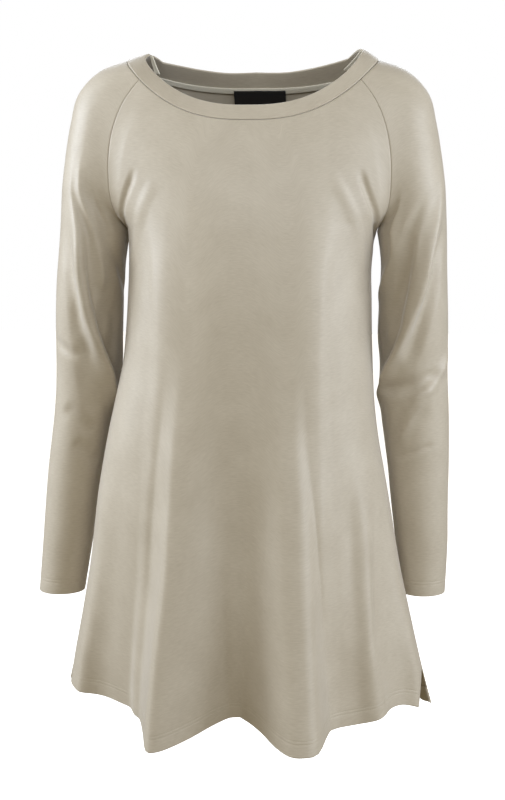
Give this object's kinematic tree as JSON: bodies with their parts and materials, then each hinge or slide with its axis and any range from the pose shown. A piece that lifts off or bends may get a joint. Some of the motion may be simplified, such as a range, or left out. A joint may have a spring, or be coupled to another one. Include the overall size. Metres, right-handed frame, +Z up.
{
  "type": "a-line top",
  "caption": "Long-sleeved A-line tunic top of smooth jersey with raglan sleeves, a wide banded neckline and side slits, hollow and filled out as if worn.",
  "frame": {"origin": "midway between the shoulders, at the height of the shoulder end of the neckline, where the wearer holds the garment up", "axes": "+Z up, -Y to the garment's front, +X to the wearer's left"},
  "size_m": [0.5365, 0.3376, 0.8481],
  "materials": {
    "jersey": "matt, with a slight sheen",
    "tape": "matt",
    "woven_label": "woven, slight sheen"
  },
  "bodies": {
    "root": {"front": "jersey", "back": "jersey", "sleeve_left": "jersey", "sleeve_right": "jersey", "neckband_front": "jersey", "neckband_back": "jersey", "neck_tape": "tape", "label": "woven_label"}
  },
  "joints": []
}
